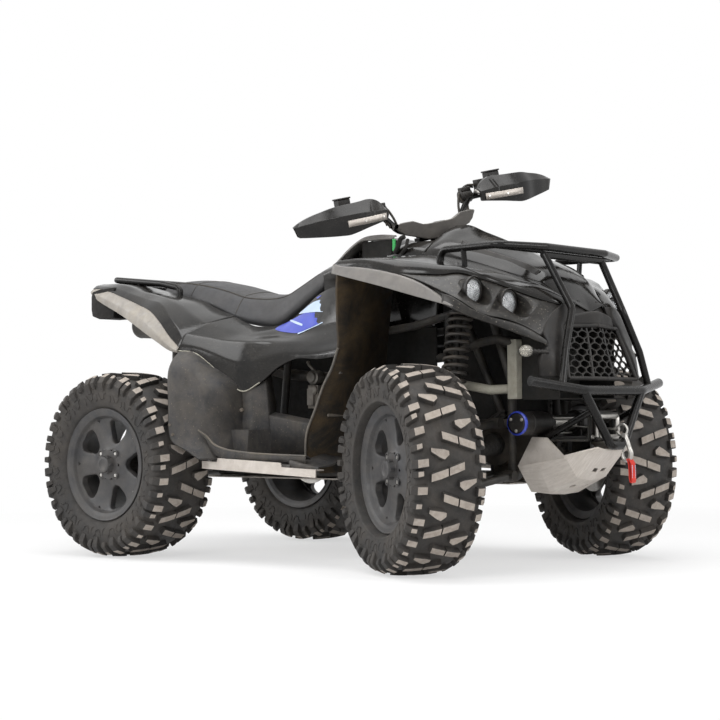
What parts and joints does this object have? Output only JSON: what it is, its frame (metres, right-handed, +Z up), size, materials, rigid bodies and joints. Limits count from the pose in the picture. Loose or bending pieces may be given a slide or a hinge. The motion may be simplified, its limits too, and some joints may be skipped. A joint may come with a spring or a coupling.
{
  "type": "quad bike",
  "caption": "Utility quad bike with knobbly tyres, alloy rims, front and rear racks, bull bar, winch, hand guards and aluminium skid plates; the wheels roll and the bars steer.",
  "frame": {"origin": "on the ground, at mid length and mid width", "axes": "+X forward, +Y to the rider's left, +Z up"},
  "size_m": [2.226, 1.4558, 1.3635],
  "materials": {
    "frame_steel": "satin",
    "engine_alloy": "satin",
    "dusty_alloy": "satin",
    "spring_steel": "satin",
    "gloss_body": "gloss",
    "black_plastic": "matte",
    "lamp_glass": "gloss",
    "black_tube": "satin",
    "bright_steel": "satin",
    "guard_aluminium": "satin",
    "seat_vinyl": "satin",
    "wheel_alloy": "matte",
    "tyre": "matte"
  },
  "bodies": {
    "chassis": {"frame": "frame_steel", "engine": "engine_alloy", "differentials": "engine_alloy", "radiator": "dusty_alloy", "front_arms": "frame_steel", "rear_arms": "frame_steel", "front_shocks": "spring_steel", "rear_shocks": "spring_steel", "half_shafts": "frame_steel", "front_fenders": "gloss_body", "front_cowl": "black_plastic", "hood": "gloss_body", "grille": "black_plastic", "lamps": "lamp_glass", "front_rack": "black_tube", "bumper": "black_tube", "winch": "black_tube", "fairlead": "bright_steel", "tow_hook": "bright_steel", "front_skid_plate": "guard_aluminium", "under_guards": "guard_aluminium", "side_panels": "gloss_body", "console": "black_plastic", "seat": "seat_vinyl", "rear_fenders": "gloss_body", "rear_rack": "black_tube", "footwells": "black_plastic", "mud_flaps": "black_plastic", "muffler": "frame_steel", "tow_hitch": "frame_steel"},
    "handlebar": {"handlebar": "black_tube", "hand_guards": "gloss_body", "controls": "black_plastic", "handlebar_cover": "seat_vinyl", "steering_column": "frame_steel"},
    "knuckle_right": {"knuckle_right": "frame_steel"},
    "knuckle_left": {"knuckle_left": "frame_steel"},
    "tie_rod_right": {"tie_rod_right": "bright_steel"},
    "tie_rod_left": {"tie_rod_left": "bright_steel"},
    "wheel_front_right": {"rim_front_right": "wheel_alloy", "tyre_front_right": "tyre"},
    "wheel_rear_right": {"rim_rear_right": "wheel_alloy", "tyre_rear_right": "tyre"},
    "wheel_front_left": {"rim_front_left": "wheel_alloy", "tyre_front_left": "tyre"},
    "wheel_rear_left": {"rim_rear_left": "wheel_alloy", "tyre_rear_left": "tyre"}
  },
  "joints": [
    {"name": "steering", "type": "hinge", "parent": "chassis", "child": "handlebar", "pos_m": [0.302, 0, 1.15], "axis": [-0.4226, 0, 0.9063], "range_deg": [-5, 65]},
    {"name": "kingpin_right", "type": "hinge", "parent": "chassis", "child": "knuckle_right", "pos_m": [0.6375, -0.415, 0.33], "axis": [0, 0, 1], "range_deg": [-4.5, 57.4]},
    {"name": "tie_rod_end_right", "type": "hinge", "parent": "knuckle_right", "child": "tie_rod_right", "pos_m": [0.54166, -0.36742, 0.383], "axis": [0, 0, 1], "range_deg": [-57.4, 4.5]},
    {"name": "wheel_front_right_spin", "type": "hinge", "parent": "knuckle_right", "child": "wheel_front_right", "pos_m": [0.59971, -0.49113, 0.33], "axis": [0.4446, 0.8957, 0], "continuous": true},
    {"name": "wheel_rear_right_spin", "type": "hinge", "parent": "chassis", "child": "wheel_rear_right", "pos_m": [-0.6935, -0.507, 0.33], "axis": [0, 1, 0], "continuous": true},
    {"name": "kingpin_left", "type": "hinge", "parent": "chassis", "child": "knuckle_left", "pos_m": [0.6375, 0.415, 0.33], "axis": [0, 0, 1], "range_deg": [-4.5, 57.4]},
    {"name": "tie_rod_end_left", "type": "hinge", "parent": "knuckle_left", "child": "tie_rod_left", "pos_m": [0.54166, 0.46258, 0.383], "axis": [0, 0, 1], "range_deg": [-57.4, 4.5]},
    {"name": "wheel_front_left_spin", "type": "hinge", "parent": "knuckle_left", "child": "wheel_front_left", "pos_m": [0.67529, 0.49113, 0.33], "axis": [0.4446, 0.8957, 0], "continuous": true},
    {"name": "wheel_rear_left_spin", "type": "hinge", "parent": "chassis", "child": "wheel_rear_left", "pos_m": [-0.6935, 0.507, 0.33], "axis": [0, 1, 0], "continuous": true}
  ],
  "couplings": [
    {"joint": "kingpin_right", "follows": "steering", "ratio": 0.88},
    {"joint": "tie_rod_end_right", "follows": "steering", "ratio": -0.88},
    {"joint": "kingpin_left", "follows": "steering", "ratio": 0.88},
    {"joint": "tie_rod_end_left", "follows": "steering", "ratio": -0.88}
  ]
}
